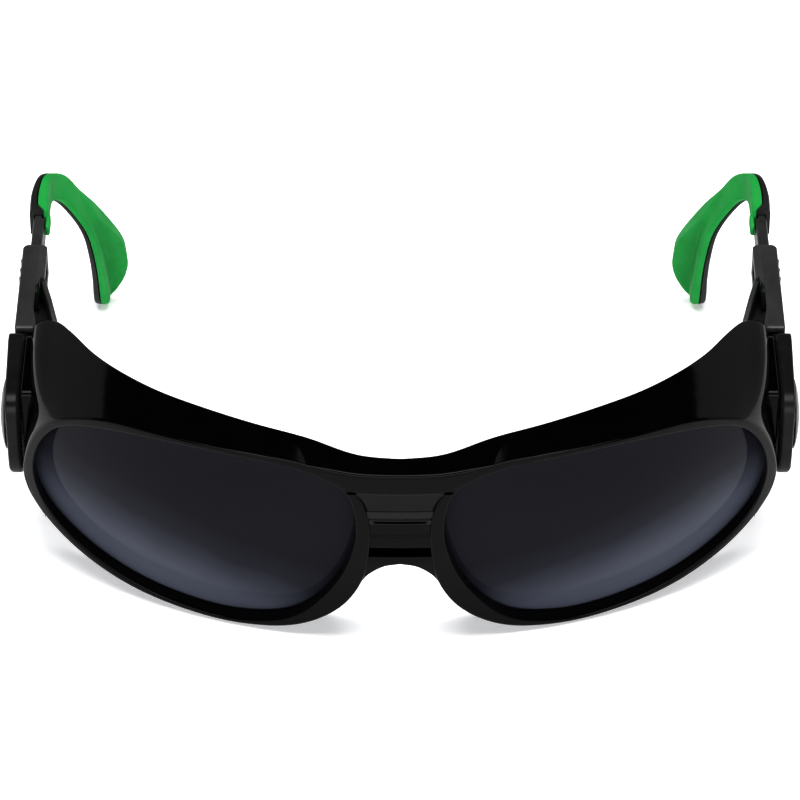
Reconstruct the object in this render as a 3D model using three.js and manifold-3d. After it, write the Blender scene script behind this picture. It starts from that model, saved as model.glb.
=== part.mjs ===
// Wrap-around welding spectacles with tinted lenses, a brow and side guard, and temples that
// tilt, fold and slide out. Millimetres, +Z up, the wearer looks along -Y, and +X is the
// wearer's left. Each side piece is made for +X and mirrored for -X.
import * as THREE from 'three';
import { mergeVertices } from 'three/addons/utils/BufferGeometryUtils.js';
import Module from 'manifold-3d';

const wasm = await Module();
wasm.setup();

// ---- driving dimensions --------------------------------------------------------------

const WRAP_RADIUS = 110;        // front face curves back over the temples on this radius
const FRONT_TILT = THREE.MathUtils.degToRad(8);
const FRONT_TOP = 43.5;         // height where the front face passes y = 0

const RIM_DEPTH = 9.2;          // front face to the back of the rim
const RIM_FLARE = 0.9;          // how far the lower rim widens towards the back
const RIM_STEPS = 52;
const EYE_CENTRE = new THREE.Vector2(41, 23);

const LENS_THICK = 2.2;
const LENS_DEPTH_NASAL = 3.4;   // front face of the rim to the lens, by the nose
const LENS_DEPTH = 4.1;         // the same, over the rest of the lens
const LENS_SEAT = 0.5;          // how far the lens reaches under the rim's lip
const FIT_GAP = 0.3;

const GUARD_THICK = 2;

const PIVOT_Y = 49;             // tilt pivot of the temple, on the side guard
const PIVOT_Z = 25;
const TEMPLE_TILT = THREE.MathUtils.degToRad(4.9);

// The temple's own frame: u is the distance outboard, v runs back from the tilt pivot
// along the temple and w runs up from it.
const PAD_FACE = 76.8;          // flat pad on the guard that the carrier turns against
const CARRIER_IN = 77.1;
const CARRIER_OUT = 80.35;      // outer face at the pivot; the face toes in towards the front
const TOE_IN = 0.03;            // per millimetre of v
const CARRIER_FRONT = -11.5;
const CARRIER_REAR = 12;
const TEMPLE_TOP = 12;
const CARRIER_BOTTOM = -10.5;
const CAP_RADIUS = 7.3;
const CAP_CROWN = 82;
const CAP_SEAT = 80.6;
const CAP_FLOOR = 79.8;
const BORE_RADIUS = 6.5;
const SCREW_RADIUS = 1.3;
const SCREW_HEAD_RADIUS = 3;
const WASHER_RADIUS = 5.3;
const WASHER_THICK = 0.8;

const FOLD_U = 73.6;            // fold pin of the temple
const FOLD_V = 15.5;
const KNUCKLE_RADIUS = 2.3;
const PIN_RADIUS = 0.9;
const KNUCKLES = [[-5, -1.2], [7.2, 10.4]];
const MID_KNUCKLE = [-0.9, 6.9];

const SLEEVE_IN = 74.5;
const SLEEVE_OUT = 79.55;
const SLEEVE_FRONT = 13;
const SLEEVE_REAR = 41.3;
const KNUCKLE_ROOM = 78.4;      // inside of the sleeve's outer wall, beside the knuckles
const STRUT_FRONT = 18.3;       // web that carries the sleeve's own knuckle

const ARM_IN = 75.75;
const ARM_OUT = 78.15;
const ARM_LOW = 5.2;
const ARM_HIGH = 10.7;
const ARM_FRONT = 27;
const ARM_REAR = 57;
const TAIL_IN = 76.4;           // the arm is thinner where it is inside the ear piece
const TAIL_OUT = 77.8;
const TAIL_FROM = 51.6;

const SHELL_SHARE = 0.37;       // part of the ear piece's thickness that is hard shell
const PAD_SHARE = 0.43;         // where the soft pad begins
const BASE_CUT = -1.05;         // the rims' lowest edge is faced off flat here
const MIDDLE_Y = 65.39;         // halfway from the front face to the ear tips

// ---- materials -----------------------------------------------------------------------

const blackPlastic = { color: 0x17181a, roughness: 0.22, metalness: 0 };
const lensTint = { color: 0x0d1018, roughness: 0.05, metalness: 0 };
const softGreen = { color: 0x1f9a43, roughness: 0.5, metalness: 0 };
const steel = { color: 0x9a9da0, roughness: 0.3, metalness: 1 };

// ---- small helpers -------------------------------------------------------------------

const smooth = (from, to, value) => THREE.MathUtils.smoothstep(value, from, to);

function curve(points, closed = false) {
  const spots = points.map(([x, y, z = 0]) => new THREE.Vector3(x, y, z));
  return new THREE.CatmullRomCurve3(spots, closed, 'centripetal');
}

function frontY(x, z) {
  const wrap = WRAP_RADIUS - Math.sqrt(WRAP_RADIUS ** 2 - x ** 2);
  return wrap + (FRONT_TOP - z) * Math.tan(FRONT_TILT);
}

function welded(geometry) {
  const bare = geometry.clone();
  bare.deleteAttribute('normal');
  bare.deleteAttribute('uv');
  return mergeVertices(bare, 1e-4);
}

function toSolid(geometry) {
  const merged = welded(geometry);
  const vertProperties = new Float32Array(merged.attributes.position.array);
  const triVerts = new Uint32Array(merged.index.array);
  return new wasm.Manifold(new wasm.Mesh({ numProp: 3, vertProperties, triVerts }));
}

function toGeometry(solid) {
  const mesh = solid.getMesh();
  const geometry = new THREE.BufferGeometry();
  geometry.setAttribute('position', new THREE.BufferAttribute(mesh.vertProperties.slice(), 3));
  geometry.setIndex(new THREE.BufferAttribute(mesh.triVerts.slice(), 1));
  return geometry;
}

function join(...pieces) {
  return toGeometry(pieces.map(toSolid).reduce((whole, piece) => whole.add(piece)));
}

function cut(body, ...tools) {
  return toGeometry(tools.map(toSolid).reduce((whole, tool) => whole.subtract(tool), toSolid(body)));
}

function common(a, b) {
  return toGeometry(toSolid(a).intersect(toSolid(b)));
}

function signedVolume(vertices, triangles) {
  const a = new THREE.Vector3();
  const b = new THREE.Vector3();
  const c = new THREE.Vector3();
  let volume = 0;
  for (let i = 0; i < triangles.length; i += 3) {
    a.copy(vertices[triangles[i]]);
    b.copy(vertices[triangles[i + 1]]);
    c.copy(vertices[triangles[i + 2]]);
    volume += a.dot(b.cross(c)) / 6;
  }
  return volume;
}

// A closed body through outlines that all have the same number of points. A closed loft
// runs round to its first outline; an open one is capped at both ends.
function loft(rings, closed = false) {
  const count = rings[0].length;
  const vertices = rings.flat();
  const triangles = [];
  const steps = closed ? rings.length : rings.length - 1;
  for (let i = 0; i < steps; i += 1) {
    const here = i * count;
    const next = ((i + 1) % rings.length) * count;
    for (let j = 0; j < count; j += 1) {
      const k = (j + 1) % count;
      triangles.push(here + j, here + k, next + k);
      triangles.push(here + j, next + k, next + j);
    }
  }
  if (!closed) {
    addCap(vertices, triangles, 0, count, false);
    addCap(vertices, triangles, (rings.length - 1) * count, count, true);
  }
  if (signedVolume(vertices, triangles) < 0) {
    triangles.reverse();
  }
  const geometry = new THREE.BufferGeometry().setFromPoints(vertices);
  geometry.setIndex(triangles);
  return geometry;
}

function addCap(vertices, triangles, start, count, last) {
  const middle = new THREE.Vector3();
  for (let j = 0; j < count; j += 1) {
    middle.addScaledVector(vertices[start + j], 1 / count);
  }
  const centre = vertices.push(middle) - 1;
  for (let j = 0; j < count; j += 1) {
    const edge = [start + j, start + ((j + 1) % count)];
    if (!last) {
      edge.reverse();
    }
    triangles.push(centre, ...edge);
  }
}

function mirrored(geometry) {
  const other = welded(geometry).applyMatrix4(new THREE.Matrix4().makeScale(-1, 1, 1));
  other.index.array.reverse();
  return other;
}

function outline(points) {
  return new THREE.Shape(points.map(([x, y]) => new THREE.Vector2(x, y)));
}

function extrude(shape, depth, curveSegments = 4) {
  return new THREE.ExtrudeGeometry(shape, { depth, bevelEnabled: false, curveSegments, steps: 1 });
}

// An outline in side view, the (v, w) or (y, z) plane, thickened from u0 to u1.
function sidePlate(shape, u0, u1) {
  const axes = new THREE.Matrix4().set(0, 0, 1, u0, 1, 0, 0, 0, 0, 1, 0, 0, 0, 0, 0, 1);
  return extrude(shape, u1 - u0).applyMatrix4(axes);
}

// An outline in the temple's (u, v) plane, thickened from w0 to w1.
function topPlate(shape, w0, w1) {
  return extrude(shape, w1 - w0).translate(0, 0, w0);
}

function box(u0, u1, v0, v1, w0, w1) {
  const size = new THREE.BoxGeometry(u1 - u0, v1 - v0, w1 - w0);
  return size.translate((u0 + u1) / 2, (v0 + v1) / 2, (w0 + w1) / 2);
}

// A round body about a line along u, from a profile of [radius, u] points.
function turnedAlongU(profile, v = 0, w = 0, sides = 20) {
  const points = profile.map(([radius, u]) => new THREE.Vector2(radius, u));
  const body = new THREE.LatheGeometry(points, sides);
  return body.rotateZ(-Math.PI / 2).translate(0, v, w);
}

function rod(radius, u0, u1, v = 0, w = 0, sides = 20) {
  return turnedAlongU([[0, u0], [radius, u0], [radius, u1], [0, u1]], v, w, sides);
}

function post(radius, u, v, w0, w1, sides = 24) {
  const body = new THREE.CylinderGeometry(radius, radius, w1 - w0, sides);
  return body.rotateX(Math.PI / 2).translate(u, v, (w0 + w1) / 2);
}

function roundedOutline(x0, x1, y0, y1, radius) {
  const shape = new THREE.Shape();
  shape.moveTo(x0 + radius, y0);
  shape.lineTo(x1 - radius, y0);
  shape.absarc(x1 - radius, y0 + radius, radius, -Math.PI / 2, 0);
  shape.lineTo(x1, y1 - radius);
  shape.absarc(x1 - radius, y1 - radius, radius, 0, Math.PI / 2);
  shape.lineTo(x0 + radius, y1);
  shape.absarc(x0 + radius, y1 - radius, radius, Math.PI / 2, Math.PI);
  shape.lineTo(x0, y0 + radius);
  shape.absarc(x0 + radius, y0 + radius, radius, Math.PI, Math.PI * 1.5);
  return shape;
}

// The temple's own frame turned and moved to where the temple sits on the spectacles.
function placed(geometry) {
  return geometry.rotateX(TEMPLE_TILT).translate(0, PIVOT_Y, PIVOT_Z);
}

// ---- front frame ---------------------------------------------------------------------

// Front-view outlines of one rim, nose side first and going over the top.
const RIM_OUTER = curve([
  [6.1, 31.5], [8.5, 39.3], [17, 45.9], [33, 47.3], [50, 47], [60, 45.4], [68.4, 40.5],
  [74.4, 31.6], [76.8, 21], [74.3, 13.4], [67.5, 7.2], [57, 2.4], [44.5, 0.1], [31, -0.3],
  [20, 1.9], [12, 7.5], [7.6, 15], [6.1, 23],
], true);
const RIM_INNER = curve([
  [8.8, 32], [10.9, 39.6], [18.8, 44.2], [33, 45.8], [49, 45.3], [60, 43.1], [67.8, 39],
  [72.7, 31], [74.3, 21.5], [72.1, 14.6], [65.8, 8.6], [56.3, 3.9], [44.3, 1.2],
  [31.8, 0.8], [21.3, 4.1], [13, 13.9], [9.2, 24.5],
], true);

// The outline's radius from the eye's centre at each of RIM_STEPS equal angles.
function polarRadii(outlineCurve) {
  const fine = outlineCurve.getPoints(720).slice(0, -1).map((point) => {
    const arm = new THREE.Vector2(point.x, point.y).sub(EYE_CENTRE);
    return { angle: arm.angle(), radius: arm.length() };
  }).sort((a, b) => a.angle - b.angle);
  const full = Math.PI * 2;
  fine.unshift({ ...fine[fine.length - 1], angle: fine[fine.length - 1].angle - full });
  fine.push({ ...fine[1], angle: fine[1].angle + full });
  const radii = [];
  for (let i = 0; i < RIM_STEPS; i += 1) {
    const angle = (full * i) / RIM_STEPS;
    const above = fine.findIndex((item) => item.angle > angle);
    const [low, high] = [fine[above - 1], fine[above]];
    const share = (angle - low.angle) / (high.angle - low.angle);
    radii.push(THREE.MathUtils.lerp(low.radius, high.radius, share));
  }
  return radii;
}

const OUTER_RADII = polarRadii(RIM_OUTER);
const INNER_RADII = polarRadii(RIM_INNER);

function lensDepth(x) {
  return THREE.MathUtils.lerp(LENS_DEPTH_NASAL, LENS_DEPTH, smooth(9, 32, x));
}

// A point on the front face, off the eye's centre by a radius along station i's ray and set
// back by a depth.
function eyePoint(i, radius, depth) {
  const angle = (Math.PI * 2 * i) / RIM_STEPS;
  const x = EYE_CENTRE.x + radius * Math.cos(angle);
  const z = EYE_CENTRE.y + radius * Math.sin(angle);
  return new THREE.Vector3(x, frontY(x, z) + depth, z);
}

function rim() {
  const rings = [];
  for (let i = 0; i < RIM_STEPS; i += 1) {
    const outer = OUTER_RADII[i];
    const inner = INNER_RADII[i];
    const angle = (Math.PI * 2 * i) / RIM_STEPS;
    const flare = RIM_FLARE * smooth(0.2, 0.8, -Math.sin(angle));
    rings.push([
      eyePoint(i, outer, 0),
      eyePoint(i, outer + flare, RIM_DEPTH),
      eyePoint(i, inner - 0.1, RIM_DEPTH),
      eyePoint(i, inner - 0.1, 0),
    ]);
  }
  return loft(rings, true);
}

// A curved slab that fills the eye opening, widened by a margin, between two depths given as
// functions of x.
function eyeSlab(margin, front, back) {
  const spread = [0.05, 0.55, 1];
  const sheet = (share, depth) => INNER_RADII.map((inner, i) => {
    const point = eyePoint(i, (inner + margin) * share, 0);
    point.y += depth(point.x);
    return point;
  });
  const face = spread.map((share) => sheet(share, front));
  const rear = spread.map((share) => sheet(share, back)).reverse();
  return loft([...face, ...rear]);
}

function eyeOpening() {
  return eyeSlab(0, () => -3, () => RIM_DEPTH + 0.05);
}

function lensGroove() {
  const margin = LENS_SEAT + FIT_GAP;
  return eyeSlab(margin, (x) => lensDepth(x) - FIT_GAP, (x) => lensDepth(x) + LENS_THICK + FIT_GAP);
}

function lens() {
  return eyeSlab(LENS_SEAT, lensDepth, (x) => lensDepth(x) + LENS_THICK);
}

// Brow and side guard: a band from the rims' outer edge back to a free rear edge, from the
// middle of the brow to the lower outer corner.
const GUARD_FRONT = curve([
  [0, 44.4], [8.5, 44.6], [18, 46.1], [28, 47.3], [38, 47.25], [48, 47.1], [55.5, 46.6],
  [60.5, 45.2], [64.5, 43.2], [68.2, 40.6], [71.6, 36.7], [74.2, 32], [76, 26.3],
  [76.8, 20.5], [75.8, 16], [73, 11.8],
]);
const GUARD_REAR = curve([
  [0, 6.1, 44.3], [8.5, 7.3, 44.5], [18, 10.9, 46], [28, 13.8, 47.2], [38, 19.1, 47.2],
  [48, 25.6, 47], [56, 33, 46.6], [62, 41.6, 45.2], [67, 51.3, 43.6], [71.2, 58, 41.95],
  [74.9, 59.2, 40.1], [76.3, 58.6, 36.5], [76.6, 58, 28], [76.6, 57, 20], [75.8, 52, 14],
  [73.5, 44, 10.5],
]);
const GUARD_STEPS = 30;

function guardStation(t) {
  const here = GUARD_FRONT.getPoint(t);
  const ahead = GUARD_FRONT.getPoint(Math.min(t + 0.01, 1));
  const behind = GUARD_FRONT.getPoint(Math.max(t - 0.01, 0));
  const inward = new THREE.Vector3(ahead.y - behind.y, 0, behind.x - ahead.x).normalize();
  if (t === 0) {
    inward.set(0, 0, -1);
  }
  const front = new THREE.Vector3(here.x, frontY(here.x, here.y) + 0.2, here.y);
  const rear = GUARD_REAR.getPoint(t);
  const step = inward.clone().multiplyScalar(GUARD_THICK);
  const thin = inward.clone().multiplyScalar(GUARD_THICK * 0.8);
  return [front, rear, rear.clone().add(thin), front.clone().add(step)];
}

function guard() {
  const left = [];
  for (let i = 0; i <= GUARD_STEPS; i += 1) {
    left.push(guardStation(i / GUARD_STEPS));
  }
  const flip = (point) => new THREE.Vector3(-point.x, point.y, point.z);
  const right = left.slice(1).reverse().map((ring) => ring.map(flip));
  return loft([...right, ...left]);
}

// The bridge in side view (y, z): brow band, hollow, rib and lower lip.
const BRIDGE_SIDE = [
  [0, 44.2], [0.6, 39.4], [1.3, 38.4], [2.2, 36.4], [2.7, 34.6], [2.6, 33.2], [2.15, 32.4],
  [3.4, 31.9], [3.4, 30.9], [2.7, 30.1], [2.75, 27.7], [3.2, 26.8], [4.7, 23.5], [7, 23.1],
  [7, 22.2], [4, 21.6], [4.1, 19.9], [5.6, 11.5], [9.6, 11.5], [7.4, 40], [6.6, 44.2],
];
const BRIDGE_HALF = 8.4;
const ARCH = [[8.4, 13.2], [6.5, 16.5], [3.3, 19.1], [0, 19.9]];

function bridge() {
  const bar = sidePlate(outline(BRIDGE_SIDE), -BRIDGE_HALF, BRIDGE_HALF);
  const archSides = [...ARCH, ...ARCH.slice(0, -1).reverse().map(([x, z]) => [-x, z])];
  const front = outline([[-BRIDGE_HALF, 45], ...archSides.reverse(), [BRIDGE_HALF, 45]]);
  const frontBlock = extrude(front, 20).rotateX(Math.PI / 2).translate(0, 15, 0);
  return common(bar, frontBlock);
}

function pivotBoss() {
  return rod(3.4, 73, 76, PIVOT_Y, PIVOT_Z);
}

// The flat pad on the guard's side that the temple's carrier turns against.
function pivotPad() {
  return placed(sidePlate(roundedOutline(-9.5, 10.8, -9, 13, 3), 74.4, PAD_FACE));
}

function frontFrame() {
  const half = (make) => [make(), mirrored(make())];
  const pieces = [guard(), bridge(), ...half(rim), ...half(pivotBoss), ...half(pivotPad)];
  const screwHole = () => rod(SCREW_RADIUS + FIT_GAP, 70, 80, PIVOT_Y, PIVOT_Z, 16);
  const holes = [...half(eyeOpening), ...half(lensGroove), ...half(screwHole)];
  const table = box(-90, 90, -10, 90, BASE_CUT - 10, BASE_CUT);
  return cut(join(...pieces), ...holes, table);
}

// ---- tilt hinge ----------------------------------------------------------------------

function carrier() {
  const plate = new THREE.Shape();
  plate.moveTo(CARRIER_REAR - 1.5, TEMPLE_TOP);
  plate.lineTo(CARRIER_FRONT + 4.5, TEMPLE_TOP);
  plate.absarc(CARRIER_FRONT + 4.5, TEMPLE_TOP - 4.5, 4.5, Math.PI / 2, Math.PI);
  plate.quadraticCurveTo(CARRIER_FRONT, CARRIER_BOTTOM, -4, CARRIER_BOTTOM);
  plate.lineTo(CARRIER_REAR - 3, CARRIER_BOTTOM);
  plate.absarc(CARRIER_REAR - 3, CARRIER_BOTTOM + 3, 3, -Math.PI / 2, 0);
  plate.lineTo(CARRIER_REAR, TEMPLE_TOP - 1.5);
  plate.absarc(CARRIER_REAR - 1.5, TEMPLE_TOP - 1.5, 1.5, 0, Math.PI / 2);
  // end view (u, w): the outer face leans in towards its lower edge
  const farOut = CARRIER_OUT + TOE_IN * CARRIER_REAR;
  const endView = outline([
    [60, 20], [farOut - 0.3, 20], [farOut, 9], [farOut, -2], [farOut - 0.5, -5.5],
    [79.2, CARRIER_BOTTOM], [60, CARRIER_BOTTOM],
  ]);
  const across = extrude(endView, 40).rotateX(Math.PI / 2).translate(0, 25, 0);
  // top view (u, v): the outer face toes in towards the front
  const toed = (v) => CARRIER_OUT + TOE_IN * v;
  const wedge = outline([[60, -20], [toed(-20), -20], [toed(20), 20], [60, 20]]);
  const topView = topPlate(wedge, -20, 20);
  const slab = sidePlate(plate, CARRIER_IN, farOut);
  const pieces = [common(common(slab, across), topView)];
  const web = KNUCKLE_ROOM - FIT_GAP;
  for (const [low, high] of KNUCKLES) {
    pieces.push(box(CARRIER_IN, web, CARRIER_REAR - 4, FOLD_V, low, high));
    pieces.push(box(FOLD_U, web, FOLD_V - KNUCKLE_RADIUS, FOLD_V + 0.7, low, high));
    pieces.push(post(KNUCKLE_RADIUS, FOLD_U, FOLD_V, low, high));
  }
  const pinHole = post(PIN_RADIUS + 0.1, FOLD_U, FOLD_V, -20, 20, 16);
  const screwHole = rod(SCREW_RADIUS + FIT_GAP, 70, 90, 0, 0, 16);
  const washerSeat = rod(WASHER_RADIUS + FIT_GAP, 70, CARRIER_IN + WASHER_THICK + FIT_GAP);
  const capBore = rod(BORE_RADIUS, CAP_FLOOR - 0.5, 90);
  const spotFace = rod(CAP_RADIUS + FIT_GAP, CAP_SEAT - FIT_GAP, 90, 0, 0, 32);
  return cut(join(...pieces), pinHole, screwHole, washerSeat, capBore, spotFace);
}

function pivotCap() {
  const wall = 1.3;
  const skirt = BORE_RADIUS - FIT_GAP;
  const dome = new THREE.QuadraticBezierCurve(
    new THREE.Vector2(0, CAP_CROWN), new THREE.Vector2(4.6, CAP_CROWN),
    new THREE.Vector2(CAP_RADIUS, CAP_SEAT + 0.3),
  ).getPoints(6).map((point) => [point.x, point.y]);
  return turnedAlongU([
    ...dome, [CAP_RADIUS, CAP_SEAT], [skirt, CAP_SEAT], [skirt, CAP_FLOOR],
    [skirt - wall, CAP_FLOOR], [skirt - wall, CAP_SEAT], [0, CAP_SEAT],
  ].reverse());
}

function pivotScrew() {
  const tip = 73.2;
  const headFrom = CAP_FLOOR - 0.3;
  const head = headFrom + 0.9;
  const body = turnedAlongU([
    [0, tip], [SCREW_RADIUS, tip], [SCREW_RADIUS, headFrom], [SCREW_HEAD_RADIUS, headFrom],
    [SCREW_HEAD_RADIUS, head - 0.2], [SCREW_HEAD_RADIUS - 0.2, head], [0, head],
  ]);
  const socketRadius = 1.1;
  return cut(body, rod(socketRadius, head - 0.6, head + 1, 0, 0, 6));
}

function detentWasher() {
  const teeth = 18;
  const star = [];
  for (let i = 0; i < teeth * 2; i += 1) {
    const angle = (Math.PI * i) / teeth;
    const radius = i % 2 ? WASHER_RADIUS - 0.4 : WASHER_RADIUS;
    star.push([radius * Math.cos(angle), radius * Math.sin(angle)]);
  }
  const from = CARRIER_IN + 0.1;
  const ring = sidePlate(outline(star), from, from + WASHER_THICK);
  return cut(ring, rod(SCREW_RADIUS + 0.6, 70, 90, 0, 0, 16));
}

function foldPin() {
  const low = KNUCKLES[0][0];
  const high = KNUCKLES[1][1];
  return post(PIN_RADIUS, FOLD_U, FOLD_V, low, high, 16);
}

// ---- temple --------------------------------------------------------------------------

const SLEEVE_SIDE = [
  [SLEEVE_FRONT, TEMPLE_TOP], [SLEEVE_REAR - 0.5, TEMPLE_TOP], [SLEEVE_REAR, TEMPLE_TOP - 0.4],
  [SLEEVE_REAR, 4], [31, 3.2], [25.5, 0.6], [20.5, -4], [SLEEVE_FRONT, -6],
];

function sleeve() {
  const [midLow, midHigh] = MID_KNUCKLE;
  const pocketRear = 30.5;
  const roof = 10.8;
  const body = sidePlate(outline(SLEEVE_SIDE), SLEEVE_IN, SLEEVE_OUT);
  const strut = outline([[75.6, 32], [74.5, 32], [71, STRUT_FRONT], [72.2, STRUT_FRONT]]);
  const strutBlock = topPlate(strut, midLow, roof - 0.4);
  const strutSide = outline([
    [10, midLow], [40, midLow], [40, TEMPLE_TOP - 0.2], [31, TEMPLE_TOP - 0.4], [18, 9], [10, 9],
  ]);
  const web = STRUT_FRONT + 1.9;
  const pieces = [
    common(strutBlock, sidePlate(strutSide, 60, 90)),
    box(71, SLEEVE_OUT - 0.4, STRUT_FRONT, web, midLow, midHigh),
    box(FOLD_U - 1.6, FOLD_U + KNUCKLE_RADIUS, FOLD_V, STRUT_FRONT + 0.7, midLow, midHigh),
    post(KNUCKLE_RADIUS, FOLD_U, FOLD_V, midLow, midHigh),
    // floor of the pocket, below the arm
    topPlate(outline([[71.4, STRUT_FRONT], [77, STRUT_FRONT], [77, 31], [75, 31]]), 3.3, 4.3),
  ];
  const gripRibs = [31.8, 34.8, 37.8];
  for (const v of gripRibs) {
    pieces.push(post(0.45, SLEEVE_OUT - 0.1, v, 5.5, 10.5, 8));
  }
  const pocket = outline([
    [60, 10], [74.6, 10], [76.1, 20], [76.1, 27], [75.2, pocketRear], [60, pocketRear],
  ]);
  const hollows = [
    // the channel that the arm slides in
    box(ARM_IN - FIT_GAP, ARM_OUT + FIT_GAP, web, 60, ARM_LOW - FIT_GAP, ARM_HIGH + FIT_GAP),
    // room for the carrier's knuckles, behind the outer wall and under the roof
    box(60, KNUCKLE_ROOM, 10, STRUT_FRONT, -20, roof),
    // the open pocket on the inboard side
    topPlate(pocket, -20, 20),
    // window onto the arm
    box(60, ARM_IN, 31.8, 38.6, 6.2, 9.6),
  ];
  const pinHole = post(PIN_RADIUS + 0.2, FOLD_U, FOLD_V, -20, 20, 16);
  return cut(join(cut(body, ...hollows), ...pieces), pinHole);
}

// The inlay's outline in side view, widened by a margin.
function inlayOutline(margin, radius) {
  return roundedOutline(29 - margin, 43 + margin, 7 - margin, 9 + margin, radius);
}

function arm() {
  const bar = sidePlate(roundedOutline(ARM_FRONT, ARM_REAR, ARM_LOW, ARM_HIGH, 0.8), ARM_IN, ARM_OUT);
  const inlaySeat = sidePlate(inlayOutline(FIT_GAP, 1.1), 60, ARM_IN + 0.7);
  const insideEar = box(60, TAIL_IN, TAIL_FROM, 70, 0, 20);
  const outsideEar = box(TAIL_OUT, 90, TAIL_FROM, 70, 0, 20);
  return cut(bar, inlaySeat, insideEar, outsideEar);
}

function armInlay() {
  return sidePlate(inlayOutline(0, 0.8), ARM_IN, ARM_IN + 0.4);
}

// Ear piece, in the spectacles' own frame. Each station has the lower edge and the upper edge
// of the blade in side view, [y, z], and the outboard and inboard faces, x.
const EAR_STATIONS = [
  { low: [100.4, 35.2], high: [100.4, 41.6], out: 79, in: 74.9 },
  { low: [107, 35.8], high: [107, 42.4], out: 79, in: 75.2 },
  { low: [112, 36.5], high: [112.8, 42.8], out: 77.7, in: 74.7 },
  { low: [114.8, 34.7], high: [117.6, 39.6], out: 75.2, in: 72.2 },
  { low: [116.5, 30.4], high: [121, 33.9], out: 72.4, in: 69.8 },
  { low: [118.2, 23.8], high: [125.8, 25.8], out: 69.6, in: 66.8 },
  { low: [120, 16.2], high: [128.8, 17], out: 68.5, in: 65.5 },
  { low: [122.6, 8.8], high: [130.52, 9], out: 68.2, in: 64.9 },
  { low: [125.6, 1.1], high: [130.52, 1.3], out: 68.2, in: 64.7 },
  { low: [128.2, BASE_CUT], high: [129.6, BASE_CUT], out: 67.4, in: 65.6 },
];
const EAR_STEPS = 22;
const LEAF_RISE = 4.7;

function earStation(t) {
  const track = (pick) => curve(EAR_STATIONS.map(pick)).getPoint(t);
  const low = track(({ low: [y, z] }) => [y, z]);
  const high = track(({ high: [y, z] }) => [y, z]);
  const faces = track((station) => [station.out, station.in]);
  // a point by its share across the blade (low to high) and through it (outboard to inboard)
  return (across, through, extra = 0) => new THREE.Vector3(
    THREE.MathUtils.lerp(faces.x, faces.y, through) - extra,
    THREE.MathUtils.lerp(low.x, high.x, across),
    THREE.MathUtils.lerp(low.y, high.y, across),
  );
}

function earLoft(section, from = 0) {
  const rings = [];
  for (let i = 0; i <= EAR_STEPS; i += 1) {
    const t = THREE.MathUtils.lerp(from, 1, i / EAR_STEPS);
    rings.push(section(earStation(t), t));
  }
  return loft(rings);
}

function armSocket() {
  return placed(box(TAIL_IN - FIT_GAP, TAIL_OUT + FIT_GAP, 40, ARM_REAR + FIT_GAP,
    ARM_LOW - FIT_GAP, ARM_HIGH + FIT_GAP));
}

// The shell reaches further inboard at its front end, so that the pad starts with a slanted step.
const stepAt = (t) => 0.38 * (1 - THREE.MathUtils.clamp(t / 0.05, 0, 1));

function earShell() {
  const blade = earLoft((at, t) => {
    const inner = SHELL_SHARE + stepAt(t);
    return [at(0.12, 0), at(0.88, 0), at(1, 0.12), at(1, inner), at(0, inner), at(0, 0.12)];
  });
  return cut(blade, armSocket());
}

function earPad() {
  const blade = earLoft((at, t) => {
    const leaf = LEAF_RISE * smooth(0.52, 0.72, t) * (1 - smooth(0.75, 0.91, t));
    const outer = PAD_SHARE + stepAt(t);
    const rim = Math.max(0.82, outer + 0.05);
    return [
      at(1, outer), at(0, outer), at(0, rim), at(0.12, 1), at(0.3, 1),
      at(0.38, 1, leaf * 0.45), at(0.6, 1, leaf), at(0.9, 1, leaf * 0.8), at(1, rim),
    ];
  });
  const tongueSide = roundedOutline(49, 53.5, 8, 10.6, 0.9);
  const tongue = placed(sidePlate(tongueSide, 74.9, ARM_IN - FIT_GAP));
  return join(cut(blade, armSocket()), tongue);
}

// ---- assembly ------------------------------------------------------------------------

const goggles = new THREE.Group();

function addNode(name, geometry, look, parent = goggles) {
  geometry.computeVertexNormals();
  const mesh = new THREE.Mesh(geometry, new THREE.MeshStandardMaterial(look));
  mesh.name = name;
  parent.add(mesh);
}

function addPair(name, make, look, parent = goggles) {
  addNode(`${name}_left`, make(), look, parent);
  addNode(`${name}_right`, mirrored(make()), look, parent);
}

const temples = new THREE.Group();
temples.position.set(0, PIVOT_Y, PIVOT_Z);
temples.rotation.x = TEMPLE_TILT;
goggles.add(temples);

addNode('front_frame', frontFrame(), blackPlastic);
addPair('lens', lens, lensTint);
addPair('hinge_carrier', carrier, blackPlastic, temples);
addPair('pivot_cap', pivotCap, blackPlastic, temples);
addPair('pivot_screw', pivotScrew, steel, temples);
addPair('detent_washer', detentWasher, steel, temples);
addPair('fold_pin', foldPin, steel, temples);
addPair('temple_sleeve', sleeve, blackPlastic, temples);
addPair('temple_arm', arm, blackPlastic, temples);
addPair('arm_inlay', armInlay, softGreen, temples);
addPair('ear_shell', earShell, blackPlastic);
addPair('ear_pad', earPad, softGreen);

goggles.position.set(0, -MIDDLE_Y, -BASE_CUT);

export default goggles;
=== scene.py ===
"""Looks of the welding spectacles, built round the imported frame.

Lengths are millimetres in the CAD's own axes until make_object turns them into metres. Each side
piece is made for +X, the wearer's left, and mirrored for -X.
"""
import math

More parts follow.
